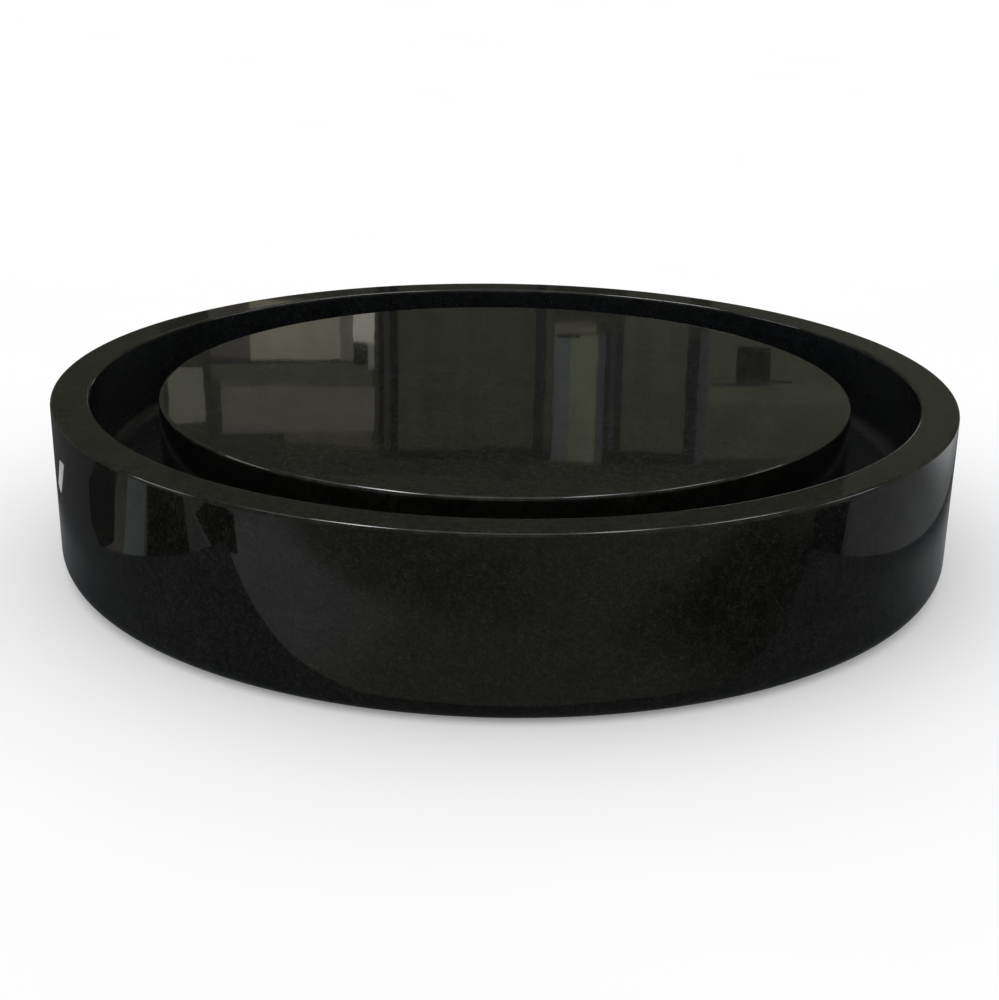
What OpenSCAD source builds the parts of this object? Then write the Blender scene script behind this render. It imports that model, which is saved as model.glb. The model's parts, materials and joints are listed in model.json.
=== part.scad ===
// Round stone basin with a ring channel around a lift-out centre tray.
// The origin is the centre of the underside, +Z is up, and all lengths are millimetres.

/* [Basin] */
// Outside diameter across the rim
basin_d = 420; // [400:5:460]
// Overall height
basin_h = 78; // [72:1:90]
// Amount by which the foot is narrower than the rim, across the diameter
foot_draw = 2; // [0:0.5:6]
// Radius of the rounded edge around the foot
foot_round = 10; // [3:1:14]
// Thickness of the upright wall
wall_t = 17.5; // [14:0.5:20]
// Radius of the eased edges of the rim
rim_ease = 1.5; // [0.5:0.5:3]

/* [Floor] */
// Depth of the floor below the rim, where it meets the wall
channel_depth = 39; // [37:1:44]
// Radius of the hollow between the wall and the floor
floor_fillet = 8; // [3:1:10]
// Fall of the floor from the wall to the outlet recess
floor_fall = 4; // [2:0.5:6]
// Diameter of the outlet hole
outlet_d = 45; // [40:1:50]
// Diameter of the recess that takes the flange of a waste fitting
recess_d = 72; // [66:1:80]
// Depth of the flange recess
recess_depth = 4; // [2:0.5:6]

/* [Centre tray] */
// Diameter of the lift-out tray
tray_d = 324; // [300:2:330]
// Thickness of the tray
tray_t = 29; // [20:1:30]
// Distance from the rim down to the tray's top face
tray_drop = 3; // [1:0.5:4]
// Radius of the eased edges of the tray
tray_ease = 1.5; // [0.5:0.5:3]

/* [Pads] */
// Diameter of a silicone pad under the tray
pad_d = 18; // [12:1:24]
// Distance of the pads from the middle of the tray
pad_circle_r = 128; // [90:1:140]
// Clearance between a pad and the floor
pad_gap = 0.3; // [0.2:0.1:0.5]

/* [Hidden] */
$fn = 160;

rim_r = basin_d / 2;
foot_r = rim_r - foot_draw / 2;
inner_r = rim_r - wall_t;
outlet_r = outlet_d / 2;
recess_r = recess_d / 2;

// Heights above the surface that the basin stands on
floor_z = basin_h - channel_depth;
recess_top_z = floor_z - floor_fall;
recess_z = recess_top_z - recess_depth;
tray_top_z = basin_h - tray_drop;
tray_under_z = tray_top_z - tray_t;

// Slope of the outer wall away from upright, and of the floor away from level
wall_lean = atan((rim_r - foot_r) / basin_h);
floor_lean = atan(floor_fall / (inner_r - recess_r));
// Height of the floor at a distance r from the middle
function floor_height(r) = floor_z - (inner_r - r) * tan(floor_lean);

// A pad reaches down until its outer edge is pad_gap above the floor
pad_foot_z = floor_height(pad_circle_r + pad_d / 2) + pad_gap;

// Centre of the arc that rounds the foot, which touches the underside and the leaning wall
foot_arc_r = foot_r + foot_round * tan(wall_lean) - foot_round / cos(wall_lean);
// Centre of the hollow arc, which touches the wall and the sloping floor
hollow_arc_r = inner_r - floor_fillet;
hollow_arc_z = floor_height(hollow_arc_r) + floor_fillet / cos(floor_lean);
// How far a cutting shape runs past the face it cuts
over = 1;

// Region to cut from a section so that its upper corner at (r, z) is a quarter round.
// side is 1 where the material lies nearer the axis than the corner, and -1 where it lies further out.
module upper_corner(r, z, ease, side) {
    difference() {
        translate([side > 0 ? r - ease : r - over, z - ease]) square(ease + over);
        translate([r - side * ease, z - ease]) circle(ease);
    }
}

// The same for a lower outer corner at (r, z)
module lower_corner(r, z, ease) {
    difference() {
        translate([r - ease, z - over]) square(ease + over);
        translate([r - ease, z + ease]) circle(ease);
    }
}

// Region to cut from the section to round the foot against the leaning wall
module foot_corner() {
    touch_r = foot_arc_r + foot_round * cos(wall_lean);
    touch_z = foot_round - foot_round * sin(wall_lean);
    difference() {
        polygon([[foot_arc_r, -over], [rim_r + over, -over], [rim_r + over, touch_z], [touch_r, touch_z]]);
        translate([foot_arc_r, foot_round]) circle(foot_round);
    }
}

// Material left in the corner between the wall and the floor
module hollow_corner() {
    touch_r = hollow_arc_r + floor_fillet * sin(floor_lean);
    touch_z = hollow_arc_z - floor_fillet * cos(floor_lean);
    difference() {
        polygon([[touch_r, touch_z], [touch_r, touch_z - over], [inner_r + over, floor_z - over],
                 [inner_r + over, hollow_arc_z], [inner_r, hollow_arc_z]]);
        translate([hollow_arc_r, hollow_arc_z]) circle(floor_fillet);
    }
}

// Half section of the basin: wall, sloping floor, flange recess and outlet
module basin_section() {
    difference() {
        polygon([[outlet_r, 0], [foot_r, 0], [rim_r, basin_h], [inner_r, basin_h], [inner_r, floor_z],
                 [recess_r, recess_top_z], [recess_r, recess_z], [outlet_r, recess_z]]);
        foot_corner();
        upper_corner(rim_r, basin_h, rim_ease, 1);
        upper_corner(inner_r, basin_h, rim_ease, -1);
    }
    hollow_corner();
}

// Basin turned from one block of stone
module basin() {
    color([0.05, 0.05, 0.048])
        rotate_extrude() basin_section();
}

// Half section of the tray
module tray_section() {
    difference() {
        translate([0, tray_under_z]) square([tray_d / 2, tray_t]);
        upper_corner(tray_d / 2, tray_top_z, tray_ease, 1);
        lower_corner(tray_d / 2, tray_under_z, tray_ease);
    }
}

// Loose stone disc that hides the outlet and lifts out for cleaning
module centre_tray() {
    color([0.09, 0.09, 0.082])
        rotate_extrude() tray_section();
}

// One of the pads under the tray, a quarter turn apart
module tray_pad(index) {
    color([0.55, 0.56, 0.56])
        rotate([0, 0, 90 * (index - 1)])
            translate([pad_circle_r, 0, pad_foot_z]) cylinder(h = tray_under_z - pad_foot_z, d = pad_d);
}

basin();
centre_tray();
tray_pad(1);  // tray_pad_1
tray_pad(2);  // tray_pad_2
tray_pad(3);  // tray_pad_3
tray_pad(4);  // tray_pad_4
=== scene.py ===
import json
import math

import bmesh
import bpy
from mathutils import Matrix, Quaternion, Vector, noise


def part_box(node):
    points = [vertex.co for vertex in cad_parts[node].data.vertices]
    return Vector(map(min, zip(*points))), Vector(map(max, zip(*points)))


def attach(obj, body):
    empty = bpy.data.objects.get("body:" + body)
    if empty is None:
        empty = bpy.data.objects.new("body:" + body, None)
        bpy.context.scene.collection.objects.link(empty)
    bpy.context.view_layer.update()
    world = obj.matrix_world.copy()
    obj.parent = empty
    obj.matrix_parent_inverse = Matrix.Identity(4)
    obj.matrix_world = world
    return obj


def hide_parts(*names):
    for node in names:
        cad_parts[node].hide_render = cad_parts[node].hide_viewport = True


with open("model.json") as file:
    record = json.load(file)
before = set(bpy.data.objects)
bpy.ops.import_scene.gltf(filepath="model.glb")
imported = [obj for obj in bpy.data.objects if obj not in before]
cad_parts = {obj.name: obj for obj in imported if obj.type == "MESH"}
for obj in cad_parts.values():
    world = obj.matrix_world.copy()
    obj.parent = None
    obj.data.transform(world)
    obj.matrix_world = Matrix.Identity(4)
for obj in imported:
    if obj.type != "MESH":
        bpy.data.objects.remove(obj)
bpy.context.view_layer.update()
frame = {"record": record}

# ---------------------------------------------------------------- dimensions, in metres

basin_low, basin_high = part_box("basin")
tray_low, tray_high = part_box("centre_tray")
outlet = next(m for m in frame["record"]["mounts"] if m["name"] == "outlet")

# Basin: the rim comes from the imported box, the outlet from its mount, and the rest repeats part.scad
WALL_T = 0.0175
CHANNEL_DEPTH = 0.039
FOOT_INSET = 0.001
RIM_R, RIM_Z = basin_high.x, basin_high.z
FOOT_R = RIM_R - FOOT_INSET
INNER_R = RIM_R - WALL_T
FLOOR_Z = RIM_Z - CHANNEL_DEPTH
FLOOR_FALL = 0.004
RECESS_R = 0.036
RECESS_Z = outlet["dims"]["length_mm"] / 1000
OUTLET_R = outlet["dims"]["r_mm"] / 1000
FOOT_ROUND = 0.010
FLOOR_HOLLOW = 0.008

# Tray
TRAY_R, TRAY_TOP, TRAY_UNDER = tray_high.x, tray_high.z, tray_low.z

# Radius of the eased edges, and of the smaller ones round the outlet
EASE = 0.0014
SMALL_EASE = 0.0009
# Edges eased by less than this are worn edges, not hollows or rounded feet
WORN_BELOW = 0.003
# Depth of the waves left by hand polishing, and how far inside the CAD outline the surface is kept
POLISH_WAVE = 0.00003
SKIN = 0.000045

# Mesh fineness: steps round the axis, the longest step along a section, and the short step by an edge
SEGMENTS = 384
MAX_STEP = 0.0045
EDGE_SUPPORT = 0.0003

# Places of the finishes in a stone piece's list of materials, where 0 is the polish; the satin finish's
# colour also holds painted shade
GROUND, SATIN_SHADED = 1, 2

# Crystals of the stone to the metre, and its refractive index
CRYSTALS = 1500
STONE_IOR = 1.56


# ---------------------------------------------------------------- meshes turned on the Z axis

def corner_arc(before, corner, after, ease, steps):
    """Points of the arc of radius ease that rounds corner, from the side of before to that of after."""
    into = (before - corner).normalized()
    away = (after - corner).normalized()
    half = into.angle(away) / 2
    reach = ease / math.tan(half)
    centre = corner + (into + away).normalized() * (ease / math.sin(half))
    first = corner + into * reach - centre
    last = corner + away * reach - centre
    start = math.atan2(first.y, first.x)
    turn = (math.atan2(last.y, last.x) - start + math.pi) % math.tau - math.pi
    angles = [start + turn * k / steps for k in range(steps + 1)]
    return [centre + Vector((math.cos(a), math.sin(a))) * ease for a in angles]


def straight_steps(length):
    """Shares of a straight at which it is cut: close to both ends, and evenly between them."""
    support = min(EDGE_SUPPORT / length, 0.25)
    count = max(1, round(length / MAX_STEP))
    return [support] + [k / count for k in range(1, count)] + [1 - support]


def section(corners, closed, shares=None, ease_scale=1.0):
    """A rounded outline in the (radius, height) plane, as (point, wear) pairs.

    corners are (radius, height, ease, steps). Wear is 1 on a small eased edge. shares keeps the number
    of points the same when the easing changes."""
    points = [Vector(c[:2]) for c in corners]
    runs = []
    for i, (_, _, ease, steps) in enumerate(corners):
        if not steps:
            runs.append([(points[i], 0.0)])
            continue
        small = ease < WORN_BELOW
        scale = ease_scale if small else 1.0
        arc = corner_arc(points[i - 1], points[i], points[(i + 1) % len(points)], ease * scale, steps)
        runs.append([(p, 1.0 if small else 0.0) for p in arc])
    ends = len(runs) if closed else len(runs) - 1
    made_shares, outline = [], []
    for i in range(ends):
        start, stop = runs[i][-1][0], runs[(i + 1) % len(runs)][0][0]
        steps = shares[i] if shares else straight_steps((stop - start).length)
        made_shares.append(steps)
        outline += runs[i] + [(start.lerp(stop, t), 0.0) for t in steps]
    if not closed:
        outline += runs[-1]
    return outline, made_shares


def uneven(angle, seed):
    """A slow unevenness round the object, from about -1 to 1."""
    return noise.noise(Vector((2.2 * math.cos(angle), 2.2 * math.sin(angle), seed)))


def round_grid(radius, height, segments):
    """Square grid mapped to a disc, so that its edge has one point for each segment."""
    count = segments // 4
    rows = []
    for i in range(count + 1):
        row = []
        for j in range(count + 1):
            u, v = 2 * i / count - 1, 2 * j / count - 1
            if u == 0 and v == 0:
                r, angle = 0.0, 0.0
            elif abs(u) >= abs(v):
                r, angle = u, math.pi / 4 * v / u
            else:
                r, angle = v, math.pi / 2 - math.pi / 4 * u / v
            row.append(Vector((radius * r * math.cos(angle), radius * r * math.sin(angle), height)))
        rows.append(row)
    return rows


def turned(name, corners, closed, segments=SEGMENTS, seed=0.0, centre=Vector((0, 0, 0))):
    """A solid turned round the vertical axis through centre. An open section gets a disc at each end."""
    bm = bmesh.new()
    wear_layer = bm.verts.layers.float.new("edge_wear")
    nominal, shares = section(corners, closed)
    rings = []
    for k in range(segments):
        angle = math.tau * k / segments
        scale = 1 + 0.3 * uneven(angle, seed)
        outline, _ = section(corners, closed, shares, scale)
        ring = []
        for point, wear in outline:
            vert = bm.verts.new((point.x * math.cos(angle), point.x * math.sin(angle), point.y))
            vert[wear_layer] = wear
            ring.append(vert)
        rings.append(ring)
    last = len(nominal) if closed else len(nominal) - 1
    for k in range(segments):
        here, there = rings[k], rings[(k + 1) % segments]
        for i in range(last):
            j = (i + 1) % len(nominal)
            bm.faces.new((here[i], there[i], there[j], here[j]))
    if not closed:
        for corner in (corners[0], corners[-1]):
            grid = [[bm.verts.new(p) for p in row] for row in round_grid(corner[0], corner[1], segments)]
            for low, high in zip(grid, grid[1:]):
                for a, b, c, d in zip(low, low[1:], high[1:], high):
                    bm.faces.new((a, b, c, d))
        bmesh.ops.remove_doubles(bm, verts=bm.verts[:], dist=1e-6)
    bmesh.ops.translate(bm, verts=bm.verts[:], vec=centre)
    bmesh.ops.recalc_face_normals(bm, faces=bm.faces[:])
    mesh = bpy.data.meshes.new(name)
    bm.to_mesh(mesh)
    bm.free()
    mesh.shade_smooth()
    piece = bpy.data.objects.new(name, mesh)
    bpy.context.scene.collection.objects.link(piece)
    return piece


def hand_polish(piece, seed):
    """Leaves the shallow waves of hand polishing, and keeps every point inside the CAD outline."""
    mesh = piece.data
    normals = [v.normal.copy() for v in mesh.vertices]
    for vert, normal in zip(mesh.vertices, normals):
        where = vert.co * 22 + Vector((0, 0, seed))
        wave = noise.noise(where) + 0.4 * noise.noise(where * 2.3)
        inward = POLISH_WAVE * wave - SKIN
        flat_foot = vert.co.z < 0.0005
        vert.co += normal * (0 if flat_foot else inward)


def satin_shaded_channel(piece):
    """Gives the channel, which a polishing wheel hardly reaches, its softer finish, whose colour is darkened
    as painted shade and tinted blue as a painted sheen.
    """
    for face in piece.data.polygons:
        middle = face.center
        if math.hypot(middle.x, middle.y) < INNER_R + EASE / 2 and middle.z < RIM_Z - EASE:
            face.material_index = SATIN_SHADED


def satin_shaded_side(piece):
    """Gives the tray's upright side, below its eased edge, the softer finish, whose colour is halved as
    painted shade.
    """
    for face in piece.data.polygons:
        if abs(face.normal.z) < 0.1:
            face.material_index = SATIN_SHADED


def ground_below(piece, height):
    """Gives the faces that look down, at or below height, the ground finish."""
    for face in piece.data.polygons:
        if face.normal.z < -0.7 and face.center.z < height:
            face.material_index = GROUND


# ---------------------------------------------------------------- materials

def add(tree, kind, settings=None, inputs=None):
    """A shader node. inputs are its sockets by name or number, each a value or a socket to link from."""
    node = tree.nodes.new(kind)
    for key, value in (settings or {}).items():
        setattr(node, key, value)
    for key, value in (inputs or {}).items():
        if isinstance(value, bpy.types.NodeSocket):
            tree.links.new(value, node.inputs[key])
        else:
            node.inputs[key].default_value = value
    return node


def ramp(tree, fac, stops, interpolation="LINEAR"):
    """A colour ramp. stops are (position, (r, g, b))."""
    node = add(tree, "ShaderNodeValToRGB", inputs={"Fac": fac})
    node.color_ramp.interpolation = interpolation
    elements = node.color_ramp.elements
    while len(elements) < len(stops):
        elements.new(0.5)
    for element, (position, colour) in zip(elements, stops):
        element.position = position
        element.color = (*colour, 1)
    return node.outputs["Color"]


def math_node(tree, operation, a, b=0.0, clamp=False):
    node = add(tree, "ShaderNodeMath", {"operation": operation, "use_clamp": clamp}, {0: a, 1: b})
    return node.outputs[0]


def mapped(tree, value, low, high, to_low=0.0, to_high=1.0):
    """value taken from low..high to to_low..to_high, and held at the ends."""
    node = add(tree, "ShaderNodeMapRange", {"clamp": True},
               {"Value": value, "From Min": low, "From Max": high, "To Min": to_low, "To Max": to_high})
    return node.outputs["Result"]


def mixed(tree, fac, a, b, blend="MIX"):
    node = add(tree, "ShaderNodeMix", {"data_type": "RGBA", "blend_type": blend},
               {"Factor": fac, "A": a, "B": b})
    return node.outputs["Result"]


def noise_fac(tree, place, scale, detail=2.0, roughness=0.5):
    node = add(tree, "ShaderNodeTexNoise", inputs={"Vector": place, "Scale": scale, "Detail": detail,
                                                   "Roughness": roughness})
    return node.outputs["Fac"]


def cells(tree, place, scale):
    """A random number for each crystal of the stone."""
    crystal = add(tree, "ShaderNodeTexVoronoi", inputs={"Vector": place, "Scale": scale})
    split = add(tree, "ShaderNodeSeparateColor", inputs={"Color": crystal.outputs["Color"]})
    return split.outputs["Red"]


def start_material(name):
    material = bpy.data.materials.new(name)
    material.use_nodes = True
    tree = material.node_tree
    place = add(tree, "ShaderNodeTexCoord").outputs["Object"]
    return material, tree, tree.nodes["Principled BSDF"], place


def stone_colour(tree, place, lift, tint=(1, 1, 1)):
    """Fine black crystals with sparse grey-green flecks, a little lighter and darker in clouds."""
    stops = [(0.0, 0.0040), (0.45, 0.0062), (0.8, 0.0098), (0.96, 0.0115), (1.0, 0.017)]
    warm = Vector((1.0, 1.02, 0.84)) * lift
    shades = [(at, tuple(shade * w * t for w, t in zip(warm, tint))) for at, shade in stops]
    grain = ramp(tree, cells(tree, place, CRYSTALS), shades)
    mottle = ramp(tree, noise_fac(tree, place, 330, 4, 0.65), [(0.36, (0.68,) * 3), (0.64, (1.32,) * 3)])
    cloud = ramp(tree, noise_fac(tree, place, 60, 8, 0.72), [(0.3, (0.7,) * 3), (0.7, (1.35,) * 3)])
    return mixed(tree, 1.0, mixed(tree, 1.0, grain, mottle, "MULTIPLY"), cloud, "MULTIPLY")


def polished_stone(name, lift=1.0, gloss=0.022, tint=(1, 1, 1)):
    """Black granite with a mirror polish: hazy patches, pitted crystals, and slightly worn eased edges."""
    material, tree, bsdf, place = start_material(name)
    colour = stone_colour(tree, place, lift, tint)
    wear = add(tree, "ShaderNodeAttribute", {"attribute_name": "edge_wear"}).outputs["Fac"]
    rubbed = math_node(tree, "MULTIPLY", wear, mapped(tree, noise_fac(tree, place, 160, 3), 0.4, 0.75))
    colour = mixed(tree, math_node(tree, "MULTIPLY", rubbed, 0.6), colour, (0.026, 0.027, 0.024, 1))
    haze = mapped(tree, noise_fac(tree, place, 9, 5, 0.6), 0.4, 0.8, gloss, gloss * 1.7)
    pits = mapped(tree, cells(tree, place, CRYSTALS), 0.96, 1.0, 0.0, 0.08)
    rough = math_node(tree, "ADD", haze, pits)
    rough = math_node(tree, "ADD", rough, math_node(tree, "MULTIPLY", rubbed, 0.05), clamp=True)
    relief = math_node(tree, "ADD", cells(tree, place, CRYSTALS), noise_fac(tree, place, 420, 3))
    bump = add(tree, "ShaderNodeBump", inputs={"Strength": 0.25, "Distance": 0.000004, "Height": relief})
    tree.links.new(colour, bsdf.inputs["Base Color"])
    tree.links.new(rough, bsdf.inputs["Roughness"])
    tree.links.new(bump.outputs["Normal"], bsdf.inputs["Normal"])
    bsdf.inputs["IOR"].default_value = STONE_IOR
    return material


def ground_stone(name):
    """The same stone left as it came off the grinding table: grey, matt, with rings of fine scratches."""
    material, tree, bsdf, place = start_material(name)
    colour = stone_colour(tree, place, 4.0)
    rings = add(tree, "ShaderNodeTexWave", {"wave_type": "RINGS", "rings_direction": "Z"},
                {"Vector": place, "Scale": 190.0, "Distortion": 3.0, "Detail": 3.0, "Detail Scale": 2.0})
    scratch = rings.outputs["Fac"]
    dust = mapped(tree, noise_fac(tree, place, 22, 6, 0.65), 0.45, 0.8, 0.0, 0.5)
    colour = mixed(tree, dust, colour, (0.075, 0.076, 0.072, 1))
    colour = mixed(tree, mapped(tree, scratch, 0.6, 1.0, 0.0, 0.25), colour, (0.1, 0.1, 0.095, 1))
    rough = mapped(tree, noise_fac(tree, place, 60, 4), 0.3, 0.7, 0.42, 0.62)
    relief = math_node(tree, "ADD", scratch, noise_fac(tree, place, 900, 4))
    bump = add(tree, "ShaderNodeBump", inputs={"Strength": 0.5, "Distance": 0.00006, "Height": relief})
    tree.links.new(colour, bsdf.inputs["Base Color"])
    tree.links.new(rough, bsdf.inputs["Roughness"])
    tree.links.new(bump.outputs["Normal"], bsdf.inputs["Normal"])
    bsdf.inputs["IOR"].default_value = STONE_IOR
    return material


def silicone(name):
    """Milky grey silicone rubber, dusty where it has been handled."""
    material, tree, bsdf, place = start_material(name)
    tone = noise_fac(tree, place, 180, 3)
    colour = ramp(tree, tone, [(0.3, (0.40, 0.41, 0.41)), (0.7, (0.53, 0.54, 0.54))])
    rough = mapped(tree, noise_fac(tree, place, 700, 4), 0.3, 0.7, 0.38, 0.6)
    bump = add(tree, "ShaderNodeBump", inputs={"Strength": 0.4, "Distance": 0.00005,
                                               "Height": noise_fac(tree, place, 1500, 2)})
    tree.links.new(colour, bsdf.inputs["Base Color"])
    tree.links.new(rough, bsdf.inputs["Roughness"])
    tree.links.new(bump.outputs["Normal"], bsdf.inputs["Normal"])
    bsdf.inputs["Subsurface Weight"].default_value = 0.3
    bsdf.inputs["Subsurface Scale"].default_value = 0.002
    return material


# ---------------------------------------------------------------- pieces

def make_basin():
    recess_top = FLOOR_Z - FLOOR_FALL
    corners = [
        (OUTLET_R, 0.0, SMALL_EASE, 5),
        (FOOT_R, 0.0, FOOT_ROUND, 14),
        (RIM_R, RIM_Z, EASE, 8),
        (INNER_R, RIM_Z, EASE, 8),
        (INNER_R, FLOOR_Z, FLOOR_HOLLOW, 12),
        (RECESS_R, recess_top, EASE, 6),
        (RECESS_R, RECESS_Z, SMALL_EASE, 5),
        (OUTLET_R, RECESS_Z, SMALL_EASE, 5),
    ]
    piece = turned("stone_basin", corners, closed=True, seed=3.7)
    hand_polish(piece, 11.0)
    piece.data.materials.append(polished_stone("basin_polished_stone"))
    piece.data.materials.append(ground_stone("basin_ground_stone"))
    # Channel finish: softer, with its colour a fifth darker as painted shade and tinted blue as a painted
    # sheen
    piece.data.materials.append(polished_stone("basin_satin_stone_with_painted_shade_and_sheen", 0.8, 0.2, (0.9, 1.0, 1.35)))
    satin_shaded_channel(piece)
    ground_below(piece, 0.002)
    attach(piece, "basin")
    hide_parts("basin")


def make_tray():
    cap_r = TRAY_R * 0.6
    corners = [
        (cap_r, TRAY_TOP, 0, 0),
        (TRAY_R, TRAY_TOP, EASE, 8),
        (TRAY_R, TRAY_UNDER, EASE, 8),
        (cap_r, TRAY_UNDER, 0, 0),
    ]
    piece = turned("stone_tray", corners, closed=False, seed=8.2)
    hand_polish(piece, 29.0)
    piece.data.materials.append(polished_stone("tray_polished_stone", lift=1.15, gloss=0.02))
    piece.data.materials.append(ground_stone("tray_ground_stone"))
    # Side finish: softer, with its colour at half brightness as painted shade from the channel round it
    piece.data.materials.append(polished_stone("tray_side_stone_with_painted_shade", lift=0.5, gloss=0.1))
    ground_below(piece, TRAY_UNDER + 0.001)
    satin_shaded_side(piece)
    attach(piece, "tray")
    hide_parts("centre_tray")


def make_pad(index, material):
    """A bumper with a thin stuck-on flange, a drawn-in side and a rounded foot."""
    node = f"tray_pad_{index}"
    low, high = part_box(node)
    middle = (low + high) / 2
    flange_r = (high.x - low.x) / 2
    body_r, foot_r = flange_r * 0.93, flange_r * 0.86
    flange_z = high.z - 0.0008
    corners = [
        (foot_r * 0.5, low.z, 0, 0),
        (foot_r, low.z, 0.0022, 6),
        (body_r, flange_z, 0.0004, 3),
        (flange_r, flange_z, 0.0002, 3),
        (flange_r, high.z, 0.0002, 3),
        (foot_r * 0.5, high.z, 0, 0),
    ]
    piece = turned(f"silicone_pad_{index}", corners, closed=False, segments=64, seed=index,
                   centre=Vector((middle.x, middle.y, 0)))
    piece.data.materials.append(material)
    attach(piece, "tray")
    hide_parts(node)


make_basin()
make_tray()
pad_material = silicone("pad_silicone")
for pad_number in range(1, 5):
    make_pad(pad_number, pad_material)


# ---------------------------------------------------------------- studio

FLOOR_SIZE = 60.0


def sheet(name, corners, material):
    """A flat stage piece through the given points."""
    mesh = bpy.data.meshes.new(name)
    mesh.from_pydata(corners, [], [range(len(corners))])
    mesh.materials.append(material)
    item = bpy.data.objects.new(name, mesh)
    bpy.context.scene.collection.objects.link(item)
    return item


def box_outline(left, right, bottom, top):
    """Corners of a rectangle, as pairs."""
    return [(left, bottom), (right, bottom), (right, top), (left, top)]


def level(outline, height):
    """An outline in x and y laid flat at a height."""
    return [(x, y, height) for x, y in outline]


def facing_front(outline, depth):
    """An outline in x and z stood up at a depth behind the object."""
    return [(x, depth, z) for x, z in outline]


# Share of a soft card's width over which it fades out at each edge
FADE = 0.35


def soft_edges(tree, axes, margin):
    """1 in the middle of a card, falling to 0 at its edges. axes are the two that it spans."""
    place = add(tree, "ShaderNodeTexCoord").outputs["Generated"]
    parts = add(tree, "ShaderNodeSeparateXYZ", inputs={0: place})
    shares = []
    for axis in axes:
        near = parts.outputs[axis]
        far = math_node(tree, "SUBTRACT", 1, near)
        inward = math_node(tree, "MINIMUM", near, far)
        shares.append(add(tree, "ShaderNodeMapRange", {"interpolation_type": "SMOOTHSTEP"},
                          {"Value": inward, "From Max": margin}).outputs["Result"])
    return math_node(tree, "MULTIPLY", *shares)


def glow(name, tint, strength, folds=0.0, soft=None):
    """A glowing surface, a little cloudy. folds darkens it in soft upright pleats."""
    material = bpy.data.materials.new(name)
    material.use_nodes = True
    tree = material.node_tree
    tree.nodes.clear()
    place = add(tree, "ShaderNodeTexCoord").outputs["Object"]
    cloud = mapped(tree, noise_fac(tree, place, 11, 5, 0.6), 0.3, 0.7, strength * 0.88, strength * 1.12)
    across = add(tree, "ShaderNodeMapping", inputs={"Vector": place, "Scale": (1.0, 1.0, 0.04)})
    upright = noise_fac(tree, across.outputs["Vector"], 26, 4, 0.6)
    pleats = mapped(tree, upright, 0.3, 0.7, 1 - folds, 1 + folds)
    brightness = math_node(tree, "MULTIPLY", cloud, pleats)
    light = add(tree, "ShaderNodeEmission", inputs={"Color": (*tint, 1), "Strength": brightness}).outputs[0]
    if soft:
        clear = add(tree, "ShaderNodeBsdfTransparent").outputs[0]
        inside = soft_edges(tree, soft, FADE)
        light = add(tree, "ShaderNodeMixShader", inputs={0: inside, 1: clear, 2: light}).outputs[0]
    add(tree, "ShaderNodeOutputMaterial", inputs={"Surface": light})
    return material


def reflector(name, corners, tint, strength, folds=0.0, soft=None):
    """A card that shows only in the polish of the stone. soft names the axes along which it fades out."""
    card = sheet(name, corners, glow(name, tint, strength, folds, soft))
    card.visible_camera = False
    card.visible_diffuse = False
    card.visible_shadow = False
    return card


def make_floor():
    """The pale floor. It glows faintly to soften the shadow, and isn't mirrored in the stone."""
    material, tree, bsdf, place = start_material("floor_paint")
    tone = ramp(tree, noise_fac(tree, place, 3, 3), [(0.3, (0.72, 0.72, 0.72)), (0.7, (0.74, 0.74, 0.74))])
    tree.links.new(tone, bsdf.inputs["Base Color"])
    bsdf.inputs["Emission Color"].default_value = (1, 1, 1, 1)
    bsdf.inputs["Emission Strength"].default_value = 0.17
    bsdf.inputs["Roughness"].default_value = 0.9
    bsdf.inputs["Specular IOR Level"].default_value = 0.0
    half = FLOOR_SIZE / 2
    floor = sheet("floor", level(box_outline(-half, half, -half, half), 0), material)
    floor.visible_glossy = False
    floor.visible_diffuse = False


def make_lights():
    """An even white dome and a broad lamp, both left out of the reflections."""
    world = bpy.data.worlds.new("studio")
    world.use_nodes = True
    world.node_tree.nodes["Background"].inputs["Color"].default_value = (1, 1, 1, 1)
    world.cycles_visibility.glossy = False
    bpy.context.scene.world = world
    lamp = bpy.data.lights.new("key", "SUN")
    lamp.angle = math.radians(70)
    lamp.energy = 0.5
    holder = bpy.data.objects.new("key", lamp)
    holder.rotation_mode = "QUATERNION"
    holder.rotation_quaternion = Vector((0.35, 0.3, -1)).to_track_quat("-Z", "Y")
    holder.visible_glossy = False
    bpy.context.scene.collection.objects.link(holder)


# Tints of the cards
OLIVE, BEIGE, GREEN = (1.06, 1.07, 0.84), (1.13, 1.06, 0.80), (1.10, 1.13, 0.78)
SLATE, PALE, WARM = (0.92, 0.99, 1.10), (0.97, 1.0, 1.03), (1.05, 1.0, 0.90)
ROSE, MINT, NAVY = (1.12, 1.02, 0.90), (0.90, 1.05, 1.05), (0.6, 0.9, 1.5)


def make_room():
    """Large dim surfaces all round, so that the polish always has something to mirror."""
    half, low, high = 6.0, -1.5, 4.5
    wall = box_outline(-half, half, low, high)
    ground = box_outline(-half, half, -half, half)
    reflector("room_back", facing_front(wall, half), OLIVE, 0.065)
    reflector("room_front", facing_front(wall, -half), WARM, 0.10)
    reflector("room_left", [(-half, y, z) for y, z in wall], OLIVE, 0.08)
    reflector("room_right", [(half, y, z) for y, z in wall], OLIVE, 0.14)
    reflector("room_ceiling", level(ground, high), WARM, 0.10)
    underneath = reflector("room_ground", level(ground, -0.008), WARM, 0.14)
    underneath.visible_diffuse = True


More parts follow.
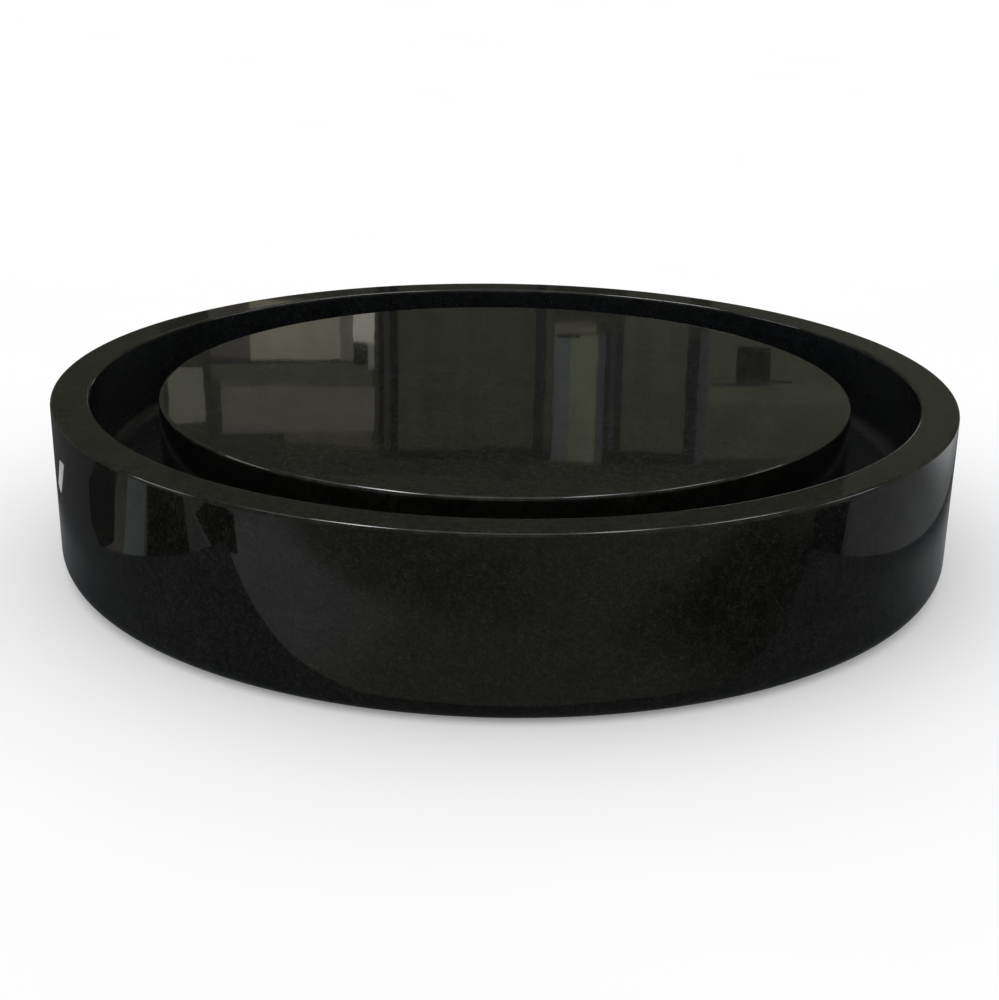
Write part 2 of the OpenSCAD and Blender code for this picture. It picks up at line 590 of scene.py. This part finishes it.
def make_softboxes():
    """Large soft lights out of the photograph's view, which the polish shows from every other side."""
    half = 5.9
    window = box_outline(-1.6, 1.6, 1.0, 3.4)
    reflector("soft_front", facing_front(window, -half), PALE, 0.55, soft="XZ")
    reflector("soft_left", [(-half, y, z) for y, z in window], PALE, 0.5, soft="YZ")
    reflector("soft_right", [(half, y, z) for y, z in window], PALE, 0.6, soft="YZ")
    reflector("soft_back", facing_front(box_outline(-1.4, 1.4, 2.0, 3.2), 2.9), PALE, 0.5, soft="XZ")
    reflector("soft_top", level(box_outline(-2.6, 2.6, -2.6, 2.6), 4.4), PALE, 0.9, soft="XY")


def make_strip_lamps():
    """Narrow lamps overhead, which draw the thin bright lines along the eased edges."""
    for name, left, right, strength in [
        ("strip_far_left", -4.4, -3.4, 4.5),
        ("strip_dim_left", -1.40, -1.10, 1.3),
        ("strip_left", -0.86, -0.60, 14.0),
        ("strip_right", 0.42, 0.70, 5.5),
        ("strip_wide_right", 1.20, 1.55, 4.5),
        ("strip_far_right", 3.6, 5.0, 2.5),
    ]:
        reflector(name, level(box_outline(left, right, -0.2, 1.3), 2.5), PALE, strength)


# Distance of the far wall, and the step that keeps a later card in front of an earlier one
FAR_WALL_Y = 3.0
WALL_STEP = 0.0005


def make_far_wall():
    """The wall behind the object, which the flat tops mirror: windows, hangings and a column.

    Each card is its left, right, bottom and top, with heights counted from the rim, then its tint,
    strength and folds. The places and strengths were measured in the photograph's reflections, and
    then tuned against it, so they suit that one view."""
    cards = [
        ("wall", -1.6, 1.6, 0.0, 1.06, OLIVE, 0.032, 0),
        ("wall_high", -1.6, 1.6, 1.06, 1.8, OLIVE, 0.048, 0),
        ("wall_far_left", -1.6, -0.77, 0.5, 1.3, OLIVE, 0.058, 0),
        ("wall_far_right", 0.78, 1.6, 0.5, 1.3, OLIVE, 0.09, 0),
        ("low_light_right", 0.33, 0.60, 0.20, 0.48, PALE, 0.9, 0),
        ("pane_far", -0.76, -0.678, 0.81, 0.94, OLIVE, 0.19, 0),
        ("post_far", -0.678, -0.64, 0.79, 0.99, OLIVE, 0.031, 0.3),
        ("window_upper", -0.64, -0.295, 0.845, 0.955, ROSE, 0.14, 0.05),
        ("window_head", -0.50, -0.30, 0.955, 0.985, BEIGE, 0.076, 0),
        ("window_rail", -0.66, -0.30, 0.795, 0.845, OLIVE, 0.071, 0.1),
        ("window_sill", -0.66, -0.30, 0.785, 0.797, SLATE, 0.026, 0),
        ("window_lower", -0.57, -0.37, 0.655, 0.785, BEIGE, 0.27, 0.05),
        ("window_lower_left", -0.66, -0.57, 0.655, 0.78, ROSE, 0.085, 0),
        ("window_jamb", -0.37, -0.34, 0.655, 0.79, OLIVE, 0.146, 0),
        ("corner", -0.34, -0.295, 0.745, 0.80, SLATE, 0.006, 0),
        ("bright_corner", -0.34, -0.292, 0.655, 0.745, WARM, 0.530, 0),
        ("bright_edge", -0.308, -0.294, 0.745, 0.81, WARM, 0.220, 0),
        ("post_left_1", -0.284, -0.272, 0.55, 1.02, SLATE, 0.006, 0),
        ("post_left_2", -0.272, -0.258, 0.55, 1.02, SLATE, 0.038, 0),
        ("post_left_3", -0.258, -0.240, 0.55, 1.02, SLATE, 0.006, 0),
        ("blind_left", -0.24, 0.105, 0.55, 0.985, OLIVE, 0.055, 0.14),
        ("blind_fold", 0.066, 0.090, 0.55, 0.985, SLATE, 0.021, 0),
        ("pelmet_left", -0.284, 0.105, 0.985, 1.018, SLATE, 0.016, 0),
        ("column_edge", 0.108, 0.145, 0.715, 1.015, MINT, 0.12, 0.1),
        ("column", 0.145, 0.205, 0.715, 1.015, GREEN, 0.155, 0.1),
        ("column_shade", 0.205, 0.222, 0.715, 1.015, SLATE, 0.076, 0),
        ("column_foot", 0.115, 0.165, 0.710, 0.722, SLATE, 0.006, 0),
        ("column_base", 0.108, 0.20, 0.69, 0.710, BEIGE, 0.126, 0),
        ("post_right_1", 0.222, 0.234, 0.70, 1.018, SLATE, 0.021, 0),
        ("post_right_2", 0.234, 0.246, 0.70, 1.018, SLATE, 0.041, 0),
        ("post_right_3", 0.246, 0.262, 0.70, 1.018, SLATE, 0.021, 0),
        ("blind_right", 0.262, 0.404, 0.55, 0.985, OLIVE, 0.072, 0.14),
        ("pelmet_right", 0.222, 0.43, 0.985, 1.018, SLATE, 0.018, 0),
        ("post_end_1", 0.404, 0.432, 0.72, 0.985, SLATE, 0.016, 0),
        ("post_end_2", 0.432, 0.452, 0.70, 1.018, SLATE, 0.064, 0),
        ("wall_right", 0.452, 0.78, 0.55, 1.0, OLIVE, 0.082, 0.04),
        ("wall_right_light", 0.46, 0.78, 0.825, 0.87, GREEN, 0.10, 0),
        ("cupboard_line", 0.46, 0.64, 0.815, 0.825, SLATE, 0.031, 0),
        ("cupboard", 0.515, 0.59, 0.74, 0.815, SLATE, 0.011, 0.1),
    ]
    for order, (name, left, right, bottom, top, tint, strength, folds) in enumerate(cards):
        outline = box_outline(left, right, RIM_Z + bottom, RIM_Z + top)
        reflector(name, facing_front(outline, FAR_WALL_Y - WALL_STEP * order), tint, strength, folds)


# Height of the lowest ground card, and the step that keeps a later card above an earlier one
GROUND_Z = -0.006
GROUND_STEP = 0.0002


def make_ground():
    """What the upright wall mirrors: the dark stand under the object, and pale ground past its edges.

    The outlines and strengths were found in the same way as those of the far wall."""
    cards = [
        ("sheen_front", box_outline(-0.38, -0.04, -0.37, -0.18), PALE, 0.29, "XY"),
        ("shade_front", box_outline(0.05, 0.38, -0.34, -0.14), SLATE, 0.02, "XY"),
        ("far_band", box_outline(-0.30, 0.12, -0.43, -0.29), OLIVE, 0.08, "XY"),
        ("right_panel", [(0.27, -0.155), (0.50, -0.14), (0.50, 0.30), (0.27, 0.30)], PALE, 0.17, None),
        ("right_window", box_outline(0.28, 0.56, 0.0, 0.40), PALE, 0.70, "XY"),
        ("right_shade", [(0.27, -0.20), (0.335, -0.208), (0.36, -0.152), (0.27, -0.163)], NAVY, 0.008, None),
        ("left_ground", [(-0.50, -0.07), (-0.26, -0.075), (-0.26, 0.30), (-0.50, 0.30)], PALE, 0.06, None),
        ("left_window", [(-0.31, 0.07), (-0.266, 0.045), (-0.255, 0.06), (-0.30, 0.09)], PALE, 0.80, None),
        ("left_dark", [(-0.40, -0.06), (-0.275, -0.09), (-0.26, -0.075), (-0.29, -0.04), (-0.34, -0.01),
                       (-0.40, -0.02)], SLATE, 0.015, None),
        ("left_strip", [(-0.42, -0.132), (-0.26, -0.134), (-0.26, -0.107), (-0.42, -0.09)],
         MINT, 0.27, None),
        ("left_panel", [(-0.40, -0.20), (-0.26, -0.192), (-0.26, -0.138), (-0.40, -0.135)],
         SLATE, 0.012, None),
        ("left_wedge", [(-0.31, -0.206), (-0.26, -0.216), (-0.26, -0.194)], PALE, 0.14, None),
        ("left_corner", [(-0.33, -0.24), (-0.29, -0.262), (-0.24, -0.244), (-0.26, -0.22), (-0.31, -0.21)],
         SLATE, 0.012, None),
        ("stand", [(-0.262, -0.238), (-0.12, -0.225), (0.06, -0.222), (0.12, -0.204), (0.277, -0.20),
                   (0.277, 0.30), (-0.262, 0.30)], SLATE, 0.055, None),
        ("stand_left", box_outline(-0.262, -0.15, -0.12, 0.34), PALE, 0.15, "XY"),
        ("stand_right", box_outline(0.15, 0.277, -0.15, 0.34), PALE, 0.20, "XY"),
    ]
    for order, (name, outline, tint, strength, soft) in enumerate(cards):
        reflector(name, level(outline, GROUND_Z + GROUND_STEP * order), tint, strength, soft=soft)


make_floor()
make_lights()
make_room()
make_softboxes()
make_strip_lamps()
make_far_wall()
make_ground()

# ---------------------------------------------------------------- camera

# Distance and elevation from the middle of the rim, found by fitting ellipses to the photograph
CAMERA_DISTANCE = 0.8337
CAMERA_ELEVATION = math.radians(15.48)
CAMERA_TILT = math.radians(19.44)
CAMERA_PAN = math.radians(-0.13)
CAMERA_ROLL = math.radians(0.89)


def make_camera():
    lens = bpy.data.cameras.new("camera")
    lens.sensor_width = 36
    lens.lens = 63.1
    lens.clip_start, lens.clip_end = 0.05, 200
    camera = bpy.data.objects.new("camera", lens)
    camera.location = (0, -CAMERA_DISTANCE * math.cos(CAMERA_ELEVATION),
                       RIM_Z + CAMERA_DISTANCE * math.sin(CAMERA_ELEVATION))
    along = math.cos(CAMERA_TILT)
    ahead = Vector((math.sin(CAMERA_PAN) * along, math.cos(CAMERA_PAN) * along, -math.sin(CAMERA_TILT)))
    camera.rotation_mode = "QUATERNION"
    camera.rotation_quaternion = ahead.to_track_quat("-Z", "Y") @ Quaternion((0, 0, 1), CAMERA_ROLL)
    bpy.context.scene.collection.objects.link(camera)
    bpy.context.scene.camera = camera


make_camera()
bpy.context.scene.view_settings.view_transform = "Standard"
